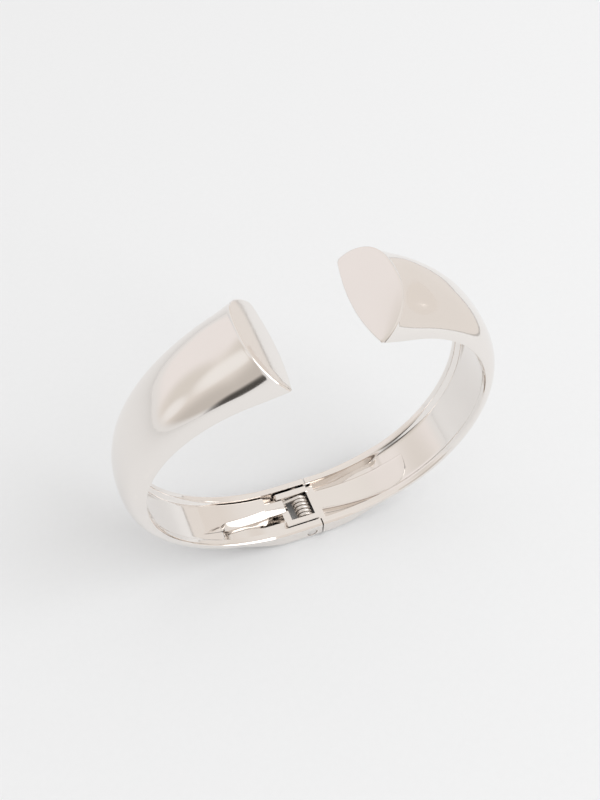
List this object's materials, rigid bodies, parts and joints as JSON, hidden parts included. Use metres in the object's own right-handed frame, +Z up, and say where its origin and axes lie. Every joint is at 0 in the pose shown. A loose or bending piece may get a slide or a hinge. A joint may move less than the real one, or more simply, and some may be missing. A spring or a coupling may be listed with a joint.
{
  "type": "hinged bangle bracelet",
  "caption": "Open oval bangle with two domed arms that widen to slanted pointed end faces, sprung to close by a pin hinge at the back.",
  "frame": {"origin": "on the surface that the bangle stands on, straight under the middle of the hinge pin", "axes": "+X across the oval towards the arm that swings, +Y along the hinge pin, +Z up through the wrist gap"},
  "size_m": [0.067, 0.022, 0.0613],
  "materials": {
    "plated_silver": "bright polished silver-tone plating over a casting",
    "pin_steel": "polished pin with peened heads",
    "spring_steel": "drawn spring wire, slightly duller than the plating"
  },
  "bodies": {
    "left_half": {"left_arm": "plated_silver", "left_hinge_leaf": "plated_silver", "hinge_pin": "pin_steel", "torsion_spring": "spring_steel"},
    "right_half": {"right_arm": "plated_silver", "right_hinge_fork": "plated_silver"}
  },
  "joints": [
    {"name": "hinge", "type": "hinge", "parent": "left_half", "child": "right_half", "pos_m": [0, 0, 0.002], "axis": [0, 1, 0], "range_deg": [0, 40], "stiffness_Nm_per_rad": 0.04, "springref_deg": -20.05, "deforming": ["torsion_spring"]}
  ]
}
